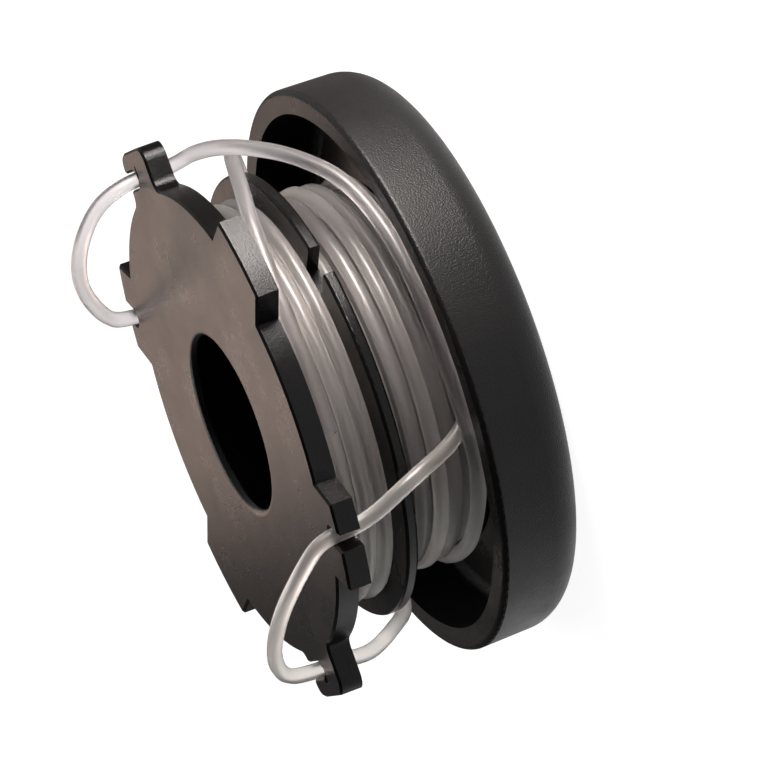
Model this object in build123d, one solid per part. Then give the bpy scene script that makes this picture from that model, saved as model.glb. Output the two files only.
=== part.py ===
from build123d import *
import math
import os

# Trimmer line spool: a two-chamber spool pressed on the spigot of a round bump cap, with a nylon line
# wound in each chamber and both line ends parked in the slots of the top flange.
# The spool stands on the cap's flat underside. The axis is +Z, the first ear of the top flange is at +Y,
# and clock angles run clockwise from +Y as seen from above the top flange.

# Driving dimensions, in mm
line_diameter = 2.0
line_clearance = 0.1
seat_clearance = 0.05

cap_radius = 37.0
cap_foot_radius = 36.7
cap_height = 11.6
cap_wall = 3.1
cap_floor = 3.0
cap_bottom_round = 4.4
cap_rim_round = 0.7
cap_inner_round = 1.5
spigot_wall = 1.8
spigot_height = 6.5
spigot_slit = 1.6
spigot_slits = 4
snap_bead = 0.45
snap_height = 4.6

hub_radius = 14.0
mouth_radius = 11.3
mouth_depth = 6.2
mouth_round = 0.9
bore_radius = 10.2
foot_height = 3.8
lower_flange_radius = 24.2
lower_flange_thickness = 1.6
lower_chamber = 10.8
middle_flange_radius = 29.0
middle_flange_thickness = 1.6
upper_chamber = 7.2
top_flange_thickness = 3.0
flange_edge_round = 0.4
anchor_clock = 57.8
anchor_width = 4.2
anchor_depth = 5.0

# Outline of the top flange: radii of its stretches, and the clock angles where they start and end
ear_radius = 36.0
ear_width = 10.4
ear_offset = -1.5
ear_corner = 2.0
ear_root = 4.0
ear_foot_round = 1.6
rim_radius = 30.4
pad_start_radius = 34.7
pad_end_radius = 33.3
relief_radius = 28.0
tooth_start_radius = 32.2
tooth_tip_radius = 34.2
pad_lead = 3.8
pad_start = 46.7
pad_end = 65.5
relief_start = 68.0
relief_end = 110.5
tooth_start = 113.0
tooth_tip = 133.0
tooth_root = 134.8
line_slot_clock = 122.0
line_slot_radius = 30.7
first_notch_across = -3.4
second_notch_across = 0.2
ear_notch_rise = 2.0
ear_slit_length = 1.6
ear_slit_width = 0.5
ear_slit_depth = 0.8
top_edge_break = 0.3

# Outer radius of each turn of the outer layers, from the lowest up
upper_winding_radii = (25.4, 25.2, 24.9)
lower_winding_radii = (23.6, 24.8, 25.3, 24.6, 23.0)

# Heights that follow from the stack of floor, flanges and chambers
lower_flange_bottom = cap_floor + foot_height
lower_flange_top = lower_flange_bottom + lower_flange_thickness
middle_flange_bottom = lower_flange_top + lower_chamber
middle_flange_top = middle_flange_bottom + middle_flange_thickness
top_flange_bottom = middle_flange_top + upper_chamber
top_face = top_flange_bottom + top_flange_thickness
mouth_floor = top_face - mouth_depth
slot_width = line_diameter + 2 * line_clearance
ear_notch_out = rim_radius + ear_notch_rise
spigot_radius = bore_radius - seat_clearance

# Routes of the three free stretches of line, from the winding to the far end
lower_tail_points = [
    (7.0, -25.8, 10.8),
    (15.0, -23.6, 10.2),
    (22.4, -19.8, 9.9),
    (27.8, -15.4, 10.2),
    (31.4, -9.0, 10.9),
    (32.5, -1.0, 11.8),
    (31.6, 7.4, 11.9),
    (28.6, 15.4, 11.8),
    (23.2, 23.4, 13.2),
    (17.6, 28.1, 16.3),
    (11.6, 31.0, 19.4),
    (6.4, 32.7, 22.2),
    (1.6, 33.5, 24.1),
    (-1.6, 33.2, 25.1),
    (-3.4, 32.4, 27.0),
    (-3.4, 32.4, 32.4),
    (-4.6, 30.8, 36.8),
    (-8.5, 26.2, 39.8),
    (-16.6, 21.4, 39.4),
    (-23.6, 16.8, 36.6),
    (-26.03, 16.27, 32.6),
    (-26.04, 16.28, 26.6),
]
upper_tail_points = [
    (-25.5, 4.2, 10.3),
    (-27.4, -5.0, 9.9),
    (-26.6, -14.4, 10.6),
    (-20.6, -22.8, 12.0),
    (-12.6, -28.2, 14.0),
    (-5.6, -29.8, 16.4),
    (-2.6, -31.0, 19.4),
    (-1.7, -32.2, 22.0),
    (-0.8, -32.7, 24.2),
    (0.2, -32.4, 26.8),
    (0.2, -32.4, 32.4),
    (1.0, -31.8, 35.6),
    (5.0, -29.3, 37.4),
    (11.4, -26.3, 38.1),
    (18.7, -22.7, 37.7),
    (24.5, -18.9, 35.4),
    (26.03, -16.27, 32.4),
    (26.04, -16.26, 26.4),
    (28.0, -13.1, 19.5),
    (28.3, -9.8, 10.8),
    (29.4, -3.2, 7.2),
    (25.6, 10.2, 8.4),
    (16.4, 19.6, 9.6),
]
loose_turn_points = [
    (25.9, -4.6, 26.93),
    (26.3, 5.4, 26.93),
    (24.3, 14.6, 26.6),
    (19.8, 22.8, 25.4),
    (14.6, 27.2, 23.6),
    (8.6, 29.8, 21.8),
    (0.2, 31.8, 19.2),
    (-9.4, 29.8, 16.2),
    (-18.8, 22.4, 13.6),
    (-25.2, 11.0, 12.4),
]


def polar(radius, clock):
    """Point at a radius and a clock angle in degrees, seen from above."""
    angle = math.radians(clock)
    return (radius * math.sin(angle), radius * math.cos(angle))


def round_stretch(radius_from, radius_to, start, end):
    """Edge of a flange outline between two clock angles, an arc that may rise or fall."""
    middle = polar((radius_from + radius_to) / 2, (start + end) / 2)
    return ThreePointArc(polar(radius_from, start), middle, polar(radius_to, end))


def revolved(*corners):
    """Solid of revolution round Z from the corners (radius, height) of a closed profile."""
    outline = Polyline(*[(radius, 0, height) for radius, height in corners], close=True)
    return revolve(make_face(outline), Axis.Z)


def circles(body, radius):
    """Round edges of one radius on a body, from the lowest to the highest."""
    rounds = body.edges().filter_by(GeomType.CIRCLE).sort_by(Axis.Z)
    return ShapeList(edge for edge in rounds if math.isclose(edge.radius, radius, abs_tol=1e-6))


def bump_cap():
    """Round cup with a rounded foot, a flat rim and a slit spigot that the spool snaps on."""
    outer = Polyline(
        (0, 0, 0), (cap_foot_radius, 0, 0), (cap_radius, 0, cap_height), (0, 0, cap_height), close=True
    )
    body = revolve(make_face(outer), Axis.Z)
    body = fillet(circles(body, cap_foot_radius), cap_bottom_round)
    body = fillet(circles(body, cap_radius), cap_rim_round)
    room_radius = cap_radius - cap_wall
    room = Pos(0, 0, cap_floor) * Cylinder(
        room_radius, cap_height, align=(Align.CENTER, Align.CENTER, Align.MIN)
    )
    room = fillet(circles(room, room_radius)[0], cap_inner_round)
    return body - room + spigot()


def spigot():
    """Ring of snap fingers on the cap's floor, with a bead that clicks into the bore."""
    bead_middle = cap_floor + snap_height
    ring_top = cap_floor + spigot_height
    inner_radius = spigot_radius - spigot_wall
    ring = revolved(
        (inner_radius, cap_floor),
        (spigot_radius, cap_floor),
        (spigot_radius, bead_middle - snap_bead),
        (spigot_radius + snap_bead, bead_middle),
        (spigot_radius, bead_middle + snap_bead),
        (spigot_radius, ring_top - snap_bead),
        (spigot_radius - snap_bead, ring_top),
        (inner_radius, ring_top),
    )
    slit_length = spigot_radius + 2 * snap_bead
    for place in range(spigot_slits):
        slit = Pos(0, 0, cap_floor + spigot_height / 2) * Rot(0, 0, 360 / spigot_slits * place) * Box(
            slit_length, spigot_slit, spigot_height, align=(Align.MIN, Align.CENTER, Align.CENTER)
        )
        ring -= slit
    return ring


def top_flange_outline():
    """Face of the top flange: two like halves of rim, cam pad, relief and tooth, and two ears."""
    edges = []
    last = None
    stretches = [
        (rim_radius, rim_radius, tooth_root - 180, pad_start - pad_lead),
        (pad_start_radius, pad_end_radius, pad_start, pad_end),
        (relief_radius, relief_radius, relief_start, relief_end),
        (tooth_start_radius, tooth_tip_radius, tooth_start, tooth_tip),
    ]
    for half in (0, 180):
        for radius_from, radius_to, start, end in stretches:
            edge = round_stretch(radius_from, radius_to, start + half, end + half)
            if last is not None:
                edges.append(Line(last @ 1, edge @ 0))
            edges.append(edge)
            last = edge
    edges.append(Line(last @ 1, edges[0] @ 0))
    face = make_face(edges)
    for half in (0, 180):
        ear_length = ear_radius - rim_radius + ear_root
        ear = RectangleRounded(ear_width, ear_length, ear_corner)
        face += Rot(0, 0, half) * Pos(ear_offset, ear_radius - ear_length / 2) * ear
    return fillet(ear_feet(face), ear_foot_round)


def ear_feet(face):
    """Corners of the top flange's outline where the ears stand on the rim."""
    on_rim = [v for v in face.vertices() if math.isclose(math.hypot(v.X, v.Y), rim_radius, abs_tol=1e-3)]
    return ShapeList(v for v in on_rim if abs(v.X) < ear_width)


def line_slots():
    """The two line slots, the two ear notches and the two short slits, as cutting tools."""
    height = 2 * top_flange_thickness
    tools = []
    for half in (0, 180):
        slot = SlotCenterToCenter(ear_radius - line_slot_radius, slot_width, rotation=90)
        slot = Pos(0, (ear_radius + line_slot_radius) / 2) * slot
        slot = Rot(0, 0, half - line_slot_clock) * slot
        tools.append(Pos(0, 0, top_face - height / 2) * extrude(slot, height / 2, both=True))
        slit_middle = ear_radius - ear_corner - ear_slit_length / 2
        slit = Box(ear_slit_width, ear_slit_length, 2 * ear_slit_depth)
        tools.append(Rot(0, 0, half) * Pos(ear_offset, slit_middle, top_face) * slit)
    for across, out in ((first_notch_across, ear_notch_out), (second_notch_across, -ear_notch_out)):
        notch = Pos(across - ear_width / 2, out) * SlotCenterToCenter(ear_width, slot_width)
        tools.append(Pos(0, 0, top_face - height / 2) * extrude(notch, height / 2, both=True))
    return tools


def spool():
    """Hub with a stepped bore and three flanges, the top one with its cams, slots and ears."""
    groove_middle = cap_floor + snap_height
    groove = snap_bead + seat_clearance
    body = revolved(
        (bore_radius, cap_floor),
        (hub_radius, cap_floor),
        (hub_radius, lower_flange_bottom),
        (lower_flange_radius, lower_flange_bottom),
        (lower_flange_radius, lower_flange_top),
        (hub_radius, lower_flange_top),
        (hub_radius, middle_flange_bottom),
        (middle_flange_radius, middle_flange_bottom),
        (middle_flange_radius, middle_flange_top),
        (hub_radius, middle_flange_top),
        (hub_radius, top_face),
        (mouth_radius, top_face),
        (mouth_radius, mouth_floor),
        (bore_radius, mouth_floor),
        (bore_radius, groove_middle + groove),
        (bore_radius + groove, groove_middle),
        (bore_radius, groove_middle - groove),
    )
    rims = circles(body, middle_flange_radius) + circles(body, lower_flange_radius)
    body = fillet(rims, flange_edge_round)
    plate = Pos(0, 0, top_flange_bottom) * extrude(top_flange_outline(), top_flange_thickness)
    for tool in line_slots():
        plate -= tool
    plate = chamfer(plate.faces().sort_by(Axis.Z)[-1].outer_wire().edges(), top_edge_break)
    plate -= Pos(0, 0, top_flange_bottom) * Cylinder(
        (hub_radius + mouth_radius) / 2, 3 * top_flange_thickness
    )
    body += plate
    body = fillet(circles(body, mouth_radius)[-1], mouth_round)
    return body - anchor_notch()


def anchor_notch():
    """Cutting tool for the notch in the middle flange, where the folded line is hooked in."""
    middle = middle_flange_bottom + middle_flange_thickness / 2
    notch = Box(anchor_width, 2 * anchor_depth, 2 * middle_flange_thickness)
    return Pos(*polar(middle_flange_radius, anchor_clock), middle) * Rot(0, 0, -anchor_clock) * notch


def winding(bottom, width, radii):
    """One chamber's turns as one solid, with a half-round ridge for each turn of the outer layer."""
    low = bottom + seat_clearance
    pitch = (width - 2 * seat_clearance) / len(radii)
    start = (hub_radius + seat_clearance, 0, low)
    end = (hub_radius + seat_clearance, 0, low + len(radii) * pitch)
    edges = []
    last = start
    for turn, radius in enumerate(radii):
        flank = radius - pitch / 2
        foot = (flank, 0, low + turn * pitch)
        crest = (radius, 0, low + (turn + 0.5) * pitch)
        far_foot = (flank, 0, low + (turn + 1) * pitch)
        if flank != last[0]:
            edges.append(Line(last, foot))
        edges.append(ThreePointArc(foot, crest, far_foot))
        last = far_foot
    edges.append(Line(last, end))
    edges.append(Line(end, start))
    return revolve(make_face(edges), Axis.Z)


def line_tube(name, points):
    """Free stretch of line: straight runs joined by tangent arcs, swept with the round line."""
    corners = [Vector(*point) for point in points]
    radii = []
    for before, here, after in zip(corners, corners[1:], corners[2:]):
        run_in = here - before
        run_out = after - here
        half_turn = math.radians(run_in.get_angle(run_out)) / 2
        radii.append(0.45 * min(run_in.length, run_out.length) / math.tan(half_turn))
    route = FilletPolyline(*corners, radius=radii)
    section = Plane(origin=route @ 0, z_dir=route % 0) * Circle(line_diameter / 2)
    print(name, "length", round(route.length, 1), "smallest bend radius", round(min(radii), 1))
    return sweep(section, path=route)


nodes = {
    "bump_cap": bump_cap(),
    "spool": spool(),
    "upper_winding": winding(middle_flange_top, upper_chamber, upper_winding_radii),
    "lower_winding": winding(lower_flange_top, lower_chamber, lower_winding_radii),
    "lower_line_tail": line_tube("lower_line_tail", lower_tail_points),
    "upper_line_tail": line_tube("upper_line_tail", upper_tail_points),
    "loose_turn": line_tube("loose_turn", loose_turn_points),
}

os.makedirs("parts", exist_ok=True)
for node, solid in nodes.items():
    export_step(solid, f"parts/{node}.step")
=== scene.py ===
"""Trimmer line spool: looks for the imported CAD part, laid out as a Blender add-on and run as a script."""

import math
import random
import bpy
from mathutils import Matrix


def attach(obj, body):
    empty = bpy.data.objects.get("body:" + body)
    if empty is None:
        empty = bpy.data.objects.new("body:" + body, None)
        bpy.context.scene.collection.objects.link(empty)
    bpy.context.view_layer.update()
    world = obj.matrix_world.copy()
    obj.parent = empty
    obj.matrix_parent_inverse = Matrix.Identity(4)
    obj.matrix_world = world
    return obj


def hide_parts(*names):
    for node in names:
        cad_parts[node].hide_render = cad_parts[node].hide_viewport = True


bl_info = {
    "name": "Trimmer line spool",
    "version": (1, 0, 0),
    "blender": (4, 5, 0),
    "location": "View3D > Sidebar > Spool",
    "description": "Black moulded spool with its bump cap, wound with clear nylon line",
    "category": "Object",
}

import bpy
from bpy.props import FloatProperty, FloatVectorProperty, IntProperty, PointerProperty
from mathutils import Matrix, Vector

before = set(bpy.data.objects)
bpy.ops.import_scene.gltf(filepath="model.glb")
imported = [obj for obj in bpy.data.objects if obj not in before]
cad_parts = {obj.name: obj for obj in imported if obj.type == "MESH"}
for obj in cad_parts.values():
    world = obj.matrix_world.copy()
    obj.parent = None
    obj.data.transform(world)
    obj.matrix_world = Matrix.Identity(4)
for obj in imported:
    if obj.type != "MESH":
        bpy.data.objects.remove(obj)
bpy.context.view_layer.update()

MM = 0.001

# Turns of line, in mm: radii and heights of the strands' centres
TURN_PITCH = 2.15
LAYER_STEP = 1.75
UPPER_HEIGHTS = [21.85 + TURN_PITCH * turn for turn in range(3)]
UPPER_INNER_RADIUS = 15.1
UPPER_LAYERS = 5
UPPER_OUTER_RADIUS = 24.2
UPPER_SWELL = 1.1
LOWER_HEIGHTS = [9.5 + TURN_PITCH * turn for turn in range(5)]
LOWER_INNER_RADIUS = 15.3
LOWER_LAYERS = 4
LOWER_CROWN_RADIUS = 22.1
LOWER_ROW_RADII = (22.3, 23.6, 24.2, 23.8, 22.6)  # from the top row down

# Studio, in metres: what the lamps face, the side of the floor that the plastic mirrors, and the paper's two levels
FACE_MIDDLE = (0, 0, 0.031)
NEAR_SIDE = (0.9, -0.45, 0)
NEAR_FADE = (-0.018, 0.014)
FLOOR_HALF = 1.5
PAPER_SHADE = 0.35
PAPER_GLOW = 0.93

# Camera at the photo's viewing angle
CAMERA_PLACE = Vector((0.8355, 0.01914, 0.25989))
CAMERA_AHEAD = Vector((-0.95797, -0.02416, -0.28584))
CAMERA_UP = Vector((0.07494, 0.94076, -0.33067))
CAMERA_LENS = 328.125

# Routes of the free stretches of line, in mm, from the part's source, moved to follow the photo
LOWER_TAIL = (
    (-2.6, -24.9, 9.6), (5.2, -25.2, 9.6), (15.8, -20.5, 9.6), (23.0, -15.4, 9.9), (27.9, -9.8, 10.8),
    (30.2, -1.0, 11.4), (30.6, 7.4, 11.6), (28.2, 15.6, 11.8), (23.2, 23.4, 13.2), (17.6, 28.1, 16.3),
    (11.6, 31.0, 19.4), (6.4, 32.7, 22.2), (1.6, 33.1, 24.1), (-1.4, 32.8, 25.0), (-3.4, 32.4, 27.0),
    (-3.4, 32.4, 32.4), (-4.6, 30.8, 36.8), (-8.5, 26.4, 39.7), (-16.6, 22.0, 38.9), (-23.6, 17.6, 35.4),
    (-26.03, 16.27, 32.4), (-26.04, 16.28, 27.4),
)
UPPER_TAIL = (
    (-25.5, 4.2, 10.3), (-27.4, -5.0, 9.9), (-26.6, -14.4, 10.6), (-20.6, -22.8, 12.0),
    (-12.6, -28.2, 14.0), (-5.6, -29.8, 16.4), (-2.6, -31.0, 19.4), (-1.7, -32.2, 22.0),
    (-0.8, -32.7, 24.2), (0.2, -32.4, 26.8), (0.2, -32.4, 32.4), (1.0, -31.8, 35.6), (5.0, -29.3, 37.4),
    (11.4, -26.3, 38.1), (18.7, -22.7, 37.7), (24.5, -18.9, 35.4), (26.03, -16.27, 32.4),
    (26.04, -16.26, 26.4), (28.0, -13.1, 19.5), (25.2, -11.0, 12.6), (24.4, -8.2, 9.0), (25.4, -3.0, 7.1),
    (25.6, 7.6, 7.0), (22.4, 14.6, 7.2), (15.8, 20.6, 9.5),
)
LOOSE_TURN = (
    (25.9, -4.6, 26.93), (26.3, 5.4, 26.93), (24.3, 14.6, 26.6), (19.8, 22.8, 25.4), (14.6, 27.2, 23.6),
    (8.6, 29.8, 21.8), (0.2, 31.8, 19.2), (-9.4, 29.8, 16.2), (-18.8, 22.4, 13.6), (-25.2, 11.0, 12.4),
)


def linear(code):
    """Linear colour of an sRGB hex code such as "1c1a1a"."""
    channels = [int(code[i:i + 2], 16) / 255 for i in (0, 2, 4)]
    return tuple(c / 12.92 if c <= 0.04045 else ((c + 0.055) / 1.055) ** 2.4 for c in channels)


class SpoolPlastic(bpy.types.PropertyGroup):
    """Black moulded plastic of the cap and the spool"""

    cap_colour: FloatVectorProperty(
        name="Cap", description="Colour of the bump cap", subtype="COLOR", size=3, default=linear("0b0a0a")
    )
    spool_colour: FloatVectorProperty(
        name="Spool", description="Colour of the spool", subtype="COLOR", size=3, default=linear("080707")
    )
    # A blasted mould's real grain is nearer 0.1 mm, and is drawn coarser so that it shows
    grain: FloatProperty(
        name="Grain", description="Size of the blasted mould's grain", unit="LENGTH", default=0.22 * MM
    )


class SpoolLine(bpy.types.PropertyGroup):
    """Nylon line and its turns"""

    colour: FloatVectorProperty(
        name="Line", description="Tint of the clear nylon", subtype="COLOR", size=3, default=linear("f4efea")
    )
    tail_colour: FloatVectorProperty(
        name="Clear tail", description="Tint of the clear free line", subtype="COLOR", size=3, default=linear("e6e1e0")
    )
    # The wound line's tint is a darker grey than the clear line: painted shade inside the winding, where the deep
    # layers lie under the outer turns
    shaded_wound_colour: FloatVectorProperty(
        name="Wound line", description="Tint of the hazy turns", subtype="COLOR", size=3, default=linear("a29fa1")
    )
    diameter: FloatProperty(name="Diameter", description="Diameter of the line", unit="LENGTH", default=2 * MM)
    steps: IntProperty(name="Steps", description="Points on each turn of a winding", default=60, min=24)


class SpoolStage(bpy.types.PropertyGroup):
    """Floor, light and camera"""

    floor_colour: FloatVectorProperty(
        name="Floor", description="Colour of the studio floor", subtype="COLOR", size=3, default=linear("ffffff")
    )
    softbox_power: FloatProperty(name="Softbox", description="Power of the softbox", unit="POWER", default=0.215)
    over_power: FloatProperty(name="Lamp above", description="Power of the lamp above", unit="POWER", default=0.085)
    far_power: FloatProperty(name="Far lamp", description="Power of the far lamp", unit="POWER", default=0.0255)
    ambient: FloatProperty(name="Ambient", description="Level of the studio's own light", default=0.65)
    wall_colour: FloatVectorProperty(
        name="Room",
        description="Colour of the dark side of the room",
        subtype="COLOR",
        size=3,
        default=(0.085, 0.08, 0.08),
    )


def add_node(tree, kind, settings=(), inputs=(), links=()):
    """New node of a kind with its settings, its input values, and links from other nodes' outputs."""
    node = tree.nodes.new(kind)
    for name, value in dict(settings).items():
        setattr(node, name, value)
    for name, value in dict(inputs).items():
        node.inputs[name].default_value = value
    for name, socket in dict(links).items():
        tree.links.new(socket, node.inputs[name])
    return node


def new_material(name):
    """Empty node material with its tree and output."""
    material = bpy.data.materials.new(name)
    material.use_nodes = True
    material.node_tree.nodes.clear()
    output = material.node_tree.nodes.new("ShaderNodeOutputMaterial")
    return material, material.node_tree, output


def moulded_plastic(name, colour, grain, depth, face_gloss, wall_gloss, shine):
    """Black ABS moulded in a sand-blasted cavity: near black, with a fine even grain that breaks up the
    highlights, walls smoother where they slid out of the mould, and upper edges rubbed to a thin bright line."""
    material, tree, output = new_material(name)
    place = add_node(tree, "ShaderNodeTexCoord").outputs["Object"]
    fine = add_node(
        tree, "ShaderNodeTexNoise", {}, {"Scale": 1 / grain, "Detail": 2.0, "Roughness": 0.6}, {"Vector": place}
    )
    patch_size = 7 * MM
    cloud = add_node(
        tree, "ShaderNodeTexNoise", {}, {"Scale": 1 / patch_size, "Detail": 5.0, "Roughness": 0.6}, {"Vector": place}
    )
    tint = add_node(
        tree,
        "ShaderNodeMix",
        {"data_type": "RGBA"},
        {"A": (*[0.7 * c for c in colour], 1), "B": (*[1.4 * c for c in colour], 1)},
        {"Factor": cloud.outputs["Fac"]},
    )
    normal = add_node(tree, "ShaderNodeNewGeometry").outputs["Normal"]
    upward = add_node(tree, "ShaderNodeSeparateXYZ", {}, {}, {"Vector": normal}).outputs["Z"]
    level = add_node(
        tree,
        "ShaderNodeMapRange",
        {},
        {"From Min": 0.6, "From Max": 0.95, "To Min": wall_gloss, "To Max": face_gloss},
        {"Value": upward},
    )
    patch = add_node(
        tree,
        "ShaderNodeMapRange",
        {},
        {"From Min": 0.3, "From Max": 0.7, "To Min": -0.05, "To Max": 0.05},
        {"Value": cloud.outputs["Fac"]},
    )
    uneven = add_node(
        tree,
        "ShaderNodeMath",
        {"operation": "ADD"},
        {},
        {0: level.outputs["Result"], 1: patch.outputs["Result"]},
    )
    facing = add_node(tree, "ShaderNodeMath", {"operation": "MAXIMUM"}, {1: 0.0}, {0: upward})
    edge = add_node(tree, "ShaderNodeMath", {"operation": "PINGPONG"}, {1: 0.5}, {0: facing.outputs["Value"]})
    rubbed = -0.4
    gloss = add_node(
        tree,
        "ShaderNodeMath",
        {"operation": "MULTIPLY_ADD", "use_clamp": True},
        {1: rubbed},
        {0: edge.outputs["Value"], 2: uneven.outputs["Value"]},
    )
    grain_height = 0.08 * MM
    bump = add_node(
        tree, "ShaderNodeBump", {}, {"Strength": depth, "Distance": grain_height}, {"Height": fine.outputs["Fac"]}
    )
    shader = add_node(
        tree,
        "ShaderNodeBsdfPrincipled",
        {},
        {"IOR": 1.5, "Specular IOR Level": shine},
        {
            "Base Color": tint.outputs[2],
            "Roughness": gloss.outputs["Value"],
            "Normal": bump.outputs["Normal"],
        },
    )
    tree.links.new(shader.outputs["BSDF"], output.inputs["Surface"])
    return material


def drawn_nylon(name, colour, clear, haze, wave, coat):
    """Nylon monofilament, drawn: clear to milky, bright along its edges, with a smooth soft gloss. The turns
    of a winding look hazier than a single free strand."""
    material, tree, output = new_material(name)
    place = add_node(tree, "ShaderNodeTexCoord").outputs["Object"]
    wave_length, wave_height = 3 * MM, 0.15 * MM
    patches = add_node(tree, "ShaderNodeTexNoise", {}, {"Scale": 1 / wave_length, "Detail": 2.0}, {"Vector": place})
    gloss = add_node(
        tree,
        "ShaderNodeMapRange",
        {},
        {"From Min": 0.3, "From Max": 0.7, "To Min": 0.85 * haze, "To Max": 1.15 * haze},
        {"Value": patches.outputs["Fac"]},
    )
    waves = add_node(
        tree, "ShaderNodeBump", {}, {"Strength": wave, "Distance": wave_height}, {"Height": patches.outputs["Fac"]}
    )
    shader = add_node(
        tree,
        "ShaderNodeBsdfPrincipled",
        {},
        {
            "Base Color": (*colour, 1),
            "IOR": 1.53,
            "Transmission Weight": clear,
            "Coat Weight": coat,
            "Coat Roughness": 0.12,
        },
        {
            "Roughness": gloss.outputs["Result"],
            "Normal": waves.outputs["Normal"],
            "Coat Normal": waves.outputs["Normal"],
        },
    )
    tree.links.new(shader.outputs["BSDF"], output.inputs["Surface"])
    return material


def line_curve(name, stretches, materials, kind, diameter, capped=True):
    """Curve object for stretches of line along points in mm, each with its own material. Stretches that carry
    on into another piece are left open."""
    data = bpy.data.curves.new(name, "CURVE")
    data.dimensions = "3D"
    data.bevel_depth = diameter / 2
    data.bevel_resolution = 3
    data.use_fill_caps = capped
    for material in materials:
        data.materials.append(material)
    for number, points in enumerate(stretches):
        spline = data.splines.new(kind)
        spline.points.add(len(points) - 1)
        for target, point in zip(spline.points, points):
            target.co = (*[MM * value for value in point], 1)
        if kind == "NURBS":
            spline.order_u = 3
            spline.use_endpoint_u = True
            spline.resolution_u = 10
        spline.use_smooth = True
        spline.material_index = number
    piece = bpy.data.objects.new(name, data)
    bpy.context.collection.objects.link(piece)
    return piece


def smooth(t):
    """Ease from 0 to 1."""
    return t * t * (3 - 2 * t)


def turns_of_line(turns, steps, seed):
    """Points of a winding, in mm. Each turn is (radius, height, swell): it runs level round the hub, stands
    off by the swell at 12 and 6 o'clock, and steps over to the next turn on the far side."""
    chance = random.Random(seed)
    points = []
    for number, (radius, height, swell) in enumerate(turns):
        following = turns[min(number + 1, len(turns) - 1)]
        wave = chance.uniform(0, 6.28)
        rough = chance.uniform(0.03, 0.09)
        for step in range(steps):
            share = step / steps
            angle = math.pi + 2 * math.pi * share
            over = smooth(max(0.0, (share - 0.86) / 0.14))
            r = radius + (following[0] - radius) * over + swell * math.sin(angle) ** 2
            z = height + (following[1] - height) * over
            r += rough * math.sin(3 * angle + wave)
            points.append((r * math.cos(angle), r * math.sin(angle), z))
    return points


def packed_layers(heights, inner, layers):
    """Turns of the inner layers of a winding, in mm, each layer lying in the grooves of the one below."""
    between = [(low + high) / 2 for low, high in zip(heights, heights[1:])]
    turns = []
    for layer in range(layers):
        row = between if layer % 2 else heights[::-1]
        turns += [(inner + LAYER_STEP * layer, height, 0) for height in row]
    return turns


def lead_out(points, end, steps):
    """Carries the last turn of a winding on round the hub to an end point, in mm."""
    start = points[-1]
    radius, height = math.hypot(start[0], start[1]), start[2]
    angle = math.atan2(start[1], start[0]) % (2 * math.pi)
    sweep = (math.atan2(end[1], end[0]) - angle) % (2 * math.pi)
    for step in range(1, steps + 1):
        share = step / steps
        r = radius + (math.hypot(end[0], end[1]) - radius) * smooth(share)
        z = height + (end[2] - height) * smooth(share)
        turned = angle + sweep * share
        points.append((r * math.cos(turned), r * math.sin(turned), z))


def sunk_end(end, sweep, depth, steps=16):
    """Points, in mm, that carry a strand's end on round the hub by a sweep in degrees and down to a radius
    among the turns of a winding."""
    radius, angle = math.hypot(end[0], end[1]), math.atan2(end[1], end[0])
    points = []
    for step in range(steps + 1):
        share = step / steps
        r = radius + (depth - radius) * smooth(share)
        turned = angle + math.radians(sweep) * share
        points.append((r * math.cos(turned), r * math.sin(turned), end[2]))
    return points


class SPOOL_OT_plastic(bpy.types.Operator):
    """Gives the cap and the spool their moulded plastic"""

    bl_idname = "spool.plastic"
    bl_label = "Moulded plastic"

    def execute(self, context):
        plastic = context.scene.spool_plastic
        cap = moulded_plastic(
            "abs_black_blasted_cap",
            plastic.cap_colour,
            plastic.grain,
            depth=1.0,
            face_gloss=0.3,
            wall_gloss=0.4,
            shine=0.24,
        )
        spool = moulded_plastic(
            "abs_black_moulded_spool",
            plastic.spool_colour,
            plastic.grain,
            depth=0.6,
            face_gloss=0.3,
            wall_gloss=0.22,
            shine=0.17,
        )
        for node, material in (("bump_cap", cap), ("spool", spool)):
            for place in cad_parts[node].material_slots:
                place.material = material
        return {"FINISHED"}


def wind(name, node, deep, strands, materials, diameter):
    """Winding in place of a CAD node: its deep layers in the first material, its outer strands in the second."""
    looks = [materials[0]] + [materials[1]] * len(strands)
    piece = line_curve(name, [deep, *strands], looks, "POLY", diameter, capped=False)
    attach(piece, "root")
    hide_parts(node)


class SPOOL_OT_upper_winding(bpy.types.Operator):
    """Winds the line in the upper chamber"""

    bl_idname = "spool.upper_winding"
    bl_label = "Upper winding"

    def execute(self, context):
        line = context.scene.spool_line
        layers = packed_layers(UPPER_HEIGHTS, UPPER_INNER_RADIUS, UPPER_LAYERS)
        deep = turns_of_line(layers, line.steps, seed=5)
        turns = [(UPPER_OUTER_RADIUS, height, UPPER_SWELL) for height in UPPER_HEIGHTS]
        outer = turns_of_line(turns, line.steps, seed=6)
        lead_out(outer, LOOSE_TURN[0], line.steps // 2)
        strands = [sunk_end(outer[0], sweep=-50, depth=22.1)[::-1] + outer]
        # The deep layers take the darker wound tint: painted shade inside the winding, under the outer turns
        materials = (
            drawn_nylon(
                "nylon_upper_layers_painted_shade", line.shaded_wound_colour, clear=0.5, haze=0.5, wave=0.2, coat=0.1
            ),
            drawn_nylon("nylon_monofilament_upper_turns", line.colour, clear=0.97, haze=0.42, wave=0.2, coat=0.2),
        )
        wind("upper_turns", "upper_winding", deep, strands, materials, line.diameter)
        return {"FINISHED"}


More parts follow.
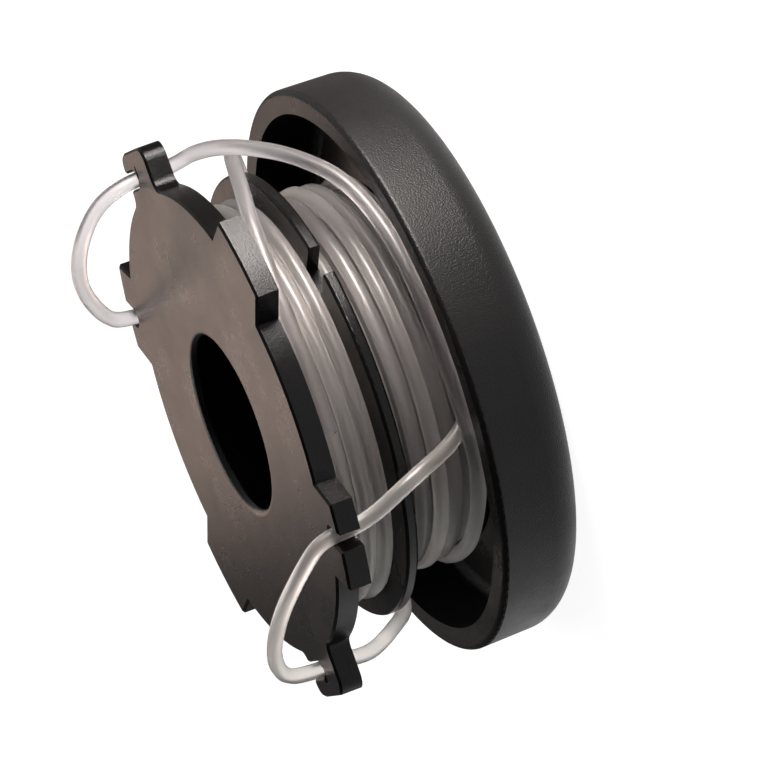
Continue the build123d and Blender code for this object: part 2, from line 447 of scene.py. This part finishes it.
class SPOOL_OT_lower_winding(bpy.types.Operator):
    """Winds the line in the lower chamber, with the strands that come out of it"""

    bl_idname = "spool.lower_winding"
    bl_label = "Lower winding"

    def execute(self, context):
        line = context.scene.spool_line
        layers = packed_layers(LOWER_HEIGHTS, LOWER_INNER_RADIUS, LOWER_LAYERS)
        layers += [(LOWER_CROWN_RADIUS, height, 0) for height in LOWER_HEIGHTS[1:-1]]
        deep = turns_of_line(layers, line.steps, seed=11)
        turns = [(radius, height, 0) for radius, height in zip(LOWER_ROW_RADII, LOWER_HEIGHTS[::-1])]
        outer = turns_of_line(turns, line.steps, seed=12)
        lead_out(outer, LOWER_TAIL[0], line.steps // 4)
        strands = [
            sunk_end(outer[0], sweep=-50, depth=20.5)[::-1] + outer,
            sunk_end(UPPER_TAIL[0], sweep=-60, depth=21.5)[::-1],
            sunk_end(UPPER_TAIL[-1], sweep=60, depth=21.5),
            sunk_end(LOOSE_TURN[-1], sweep=70, depth=22.0),
        ]
        # The deep layers take the darker wound tint: painted shade inside the winding, under the outer turns
        materials = (
            drawn_nylon(
                "nylon_lower_layers_painted_shade", line.shaded_wound_colour, clear=0.66, haze=0.5, wave=0.2, coat=0.1
            ),
            drawn_nylon("nylon_monofilament_lower_turns", line.colour, clear=0.98, haze=0.42, wave=0.2, coat=0.2),
        )
        wind("lower_turns", "lower_winding", deep, strands, materials, line.diameter)
        return {"FINISHED"}


class SPOOL_OT_tails(bpy.types.Operator):
    """Lays the two line tails and the loose turn"""

    bl_idname = "spool.tails"
    bl_label = "Line tails"

    def execute(self, context):
        line = context.scene.spool_line
        clear = drawn_nylon(
            "nylon_monofilament_clear_tail", line.tail_colour, clear=0.98, haze=0.38, wave=0.03, coat=0.03
        )
        milky = drawn_nylon(
            "nylon_monofilament_milky_tail", line.colour, clear=0.91, haze=0.38, wave=0.03, coat=0.25
        )
        for node, route, length, material in (
            ("lower_line_tail", LOWER_TAIL, 0.1431, clear),
            ("upper_line_tail", UPPER_TAIL, 0.1559, milky),
            ("loose_turn", LOOSE_TURN, 0.0867, clear),
        ):
            piece = line_curve(node + "_line", [route], [material], "NURBS", line.diameter, node != "loose_turn")
            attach(piece, "root")
            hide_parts(node)
        return {"FINISHED"}


def seen_directly(tree, rays):
    """Socket that is 1 for what the camera sees, also through clear line, and 0 for all other rays."""
    seen = add_node(
        tree,
        "ShaderNodeMath",
        {"operation": "MAXIMUM"},
        {},
        {0: rays.outputs["Is Camera Ray"], 1: rays.outputs["Is Transmission Ray"]},
    )
    return seen.outputs["Value"]


def studio_paper(colour):
    """White studio paper, matt: so bright that only the part's shadow shows on it. The plastic mirrors it on
    the near side, and sees no bright paper on the far side."""
    material, tree, output = new_material("studio_paper_white")
    rays = add_node(tree, "ShaderNodeLightPath")
    place = add_node(tree, "ShaderNodeTexCoord").outputs["Object"]
    towards = add_node(tree, "ShaderNodeVectorMath", {"operation": "DOT_PRODUCT"}, {1: NEAR_SIDE}, {0: place})
    near = add_node(
        tree,
        "ShaderNodeMapRange",
        {},
        {"From Min": NEAR_FADE[0], "From Max": NEAR_FADE[1]},
        {"Value": towards.outputs["Value"]},
    )
    mirrored = add_node(
        tree,
        "ShaderNodeMath",
        {"operation": "MULTIPLY"},
        {},
        {0: near.outputs["Result"], 1: rays.outputs["Is Glossy Ray"]},
    )
    bright = add_node(
        tree,
        "ShaderNodeMath",
        {"operation": "MAXIMUM"},
        {},
        {0: seen_directly(tree, rays), 1: mirrored.outputs["Value"]},
    )
    paper = add_node(tree, "ShaderNodeBsdfDiffuse", {}, {"Color": (*[PAPER_SHADE * c for c in colour], 1)})
    glow = add_node(tree, "ShaderNodeEmission", {}, {"Color": (*colour, 1), "Strength": PAPER_GLOW})
    lit = add_node(tree, "ShaderNodeAddShader", {}, {}, {0: paper.outputs["BSDF"], 1: glow.outputs["Emission"]})
    mixed = add_node(
        tree,
        "ShaderNodeMixShader",
        {},
        {},
        {0: bright.outputs["Value"], 1: paper.outputs["BSDF"], 2: lit.outputs["Shader"]},
    )
    tree.links.new(mixed.outputs["Shader"], output.inputs["Surface"])
    return material


def studio_floor(colour):
    """Floor under the part."""
    mesh = bpy.data.meshes.new("floor")
    corners = [(x * FLOOR_HALF, y * FLOOR_HALF, 0) for x, y in ((-1, -1), (1, -1), (1, 1), (-1, 1))]
    mesh.from_pydata(corners, [], [(0, 1, 2, 3)])
    mesh.materials.append(studio_paper(colour))
    floor = bpy.data.objects.new("floor", mesh)
    bpy.context.collection.objects.link(floor)


def studio_room(wall_colour, ambient):
    """World that is light towards 12 o'clock and dark towards 6 o'clock, with a white background."""
    world = bpy.data.worlds.new("studio")
    world.use_nodes = True
    tree = world.node_tree
    tree.nodes.clear()
    output = tree.nodes.new("ShaderNodeOutputWorld")
    rays = add_node(tree, "ShaderNodeLightPath")
    towards = add_node(tree, "ShaderNodeTexCoord").outputs["Generated"]
    across = add_node(tree, "ShaderNodeSeparateXYZ", {}, {}, {"Vector": towards}).outputs["Y"]
    side = add_node(tree, "ShaderNodeMapRange", {}, {"From Min": -0.1, "From Max": 1.0}, {"Value": across})
    room = add_node(
        tree,
        "ShaderNodeMix",
        {"data_type": "RGBA"},
        {"A": (*wall_colour, 1), "B": (*[ambient] * 3, 1)},
        {"Factor": side.outputs["Result"]},
    )
    shown = add_node(
        tree,
        "ShaderNodeMix",
        {"data_type": "RGBA"},
        {"B": (1, 1, 1, 1)},
        {"Factor": seen_directly(tree, rays), "A": room.outputs[2]},
    )
    sky = add_node(tree, "ShaderNodeBackground", {}, {}, {"Color": shown.outputs[2]})
    tree.links.new(sky.outputs["Background"], output.inputs["Surface"])
    return world


def softbox(name, place, size, power, colour):
    """Area lamp at a place, facing the middle of the top flange."""
    lamp = bpy.data.lights.new(name, "AREA")
    lamp.shape = "RECTANGLE"
    lamp.size, lamp.size_y = size
    lamp.energy = power
    lamp.color = colour
    piece = bpy.data.objects.new(name, lamp)
    bpy.context.collection.objects.link(piece)
    piece.location = place
    piece.rotation_euler = (Vector(FACE_MIDDLE) - piece.location).to_track_quat("-Z", "Y").to_euler()
    piece.visible_camera = False


def photo_camera():
    """Camera at the photo's viewing angle."""
    data = bpy.data.cameras.new("camera")
    data.lens = CAMERA_LENS
    data.sensor_width = 36
    data.clip_end = 10
    camera = bpy.data.objects.new("camera", data)
    bpy.context.collection.objects.link(camera)
    columns = (CAMERA_AHEAD.cross(CAMERA_UP), CAMERA_UP, -CAMERA_AHEAD, CAMERA_PLACE)
    camera.matrix_world = Matrix([[c[row] for c in columns] for row in range(3)] + [[0, 0, 0, 1]])
    return camera


class SPOOL_OT_stage(bpy.types.Operator):
    """Sets the floor, the light and the camera"""

    bl_idname = "spool.stage"
    bl_label = "Stage"

    def execute(self, context):
        scene = context.scene
        stage = scene.spool_stage
        scene.view_settings.view_transform = "Standard"
        studio_floor(stage.floor_colour)
        scene.world = studio_room(stage.wall_colour, stage.ambient)
        softbox("softbox", (0.066, 0.082, 0.017), (0.055, 0.03), stage.softbox_power, (1, 0.92, 0.88))
        softbox("lamp_above", (-0.08, 0.0, 0.16), (0.08, 0.08), stage.over_power, (1, 0.96, 0.94))
        softbox("far_lamp", (-0.13, 0.0185, 0.079), (0.07, 0.05), stage.far_power, (1, 0.75, 0.63))
        scene.camera = photo_camera()
        return {"FINISHED"}


class SPOOL_PT_panel(bpy.types.Panel):
    """Lists the spool's steps and settings"""

    bl_idname = "SPOOL_PT_panel"
    bl_label = "Trimmer line spool"
    bl_space_type = "VIEW_3D"
    bl_region_type = "UI"
    bl_category = "Spool"

    def draw(self, context):
        for operator in OPERATORS:
            self.layout.operator(operator.bl_idname)
        for group in (context.scene.spool_plastic, context.scene.spool_line, context.scene.spool_stage):
            box = self.layout.box()
            for name in group.__annotations__:
                box.prop(group, name)


OPERATORS = (SPOOL_OT_plastic, SPOOL_OT_tails, SPOOL_OT_upper_winding, SPOOL_OT_lower_winding, SPOOL_OT_stage)
CLASSES = (SpoolPlastic, SpoolLine, SpoolStage, *OPERATORS, SPOOL_PT_panel)


def register():
    for cls in CLASSES:
        bpy.utils.register_class(cls)
    bpy.types.Scene.spool_plastic = PointerProperty(type=SpoolPlastic)
    bpy.types.Scene.spool_line = PointerProperty(type=SpoolLine)
    bpy.types.Scene.spool_stage = PointerProperty(type=SpoolStage)


def unregister():
    del bpy.types.Scene.spool_stage
    del bpy.types.Scene.spool_line
    del bpy.types.Scene.spool_plastic
    for cls in reversed(CLASSES):
        bpy.utils.unregister_class(cls)


def main():
    """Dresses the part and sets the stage."""
    register()
    bpy.ops.spool.stage()
    bpy.ops.spool.tails()
    bpy.ops.spool.plastic()
    bpy.ops.spool.upper_winding()
    bpy.ops.spool.lower_winding()


if __name__ == "__main__":
    main()
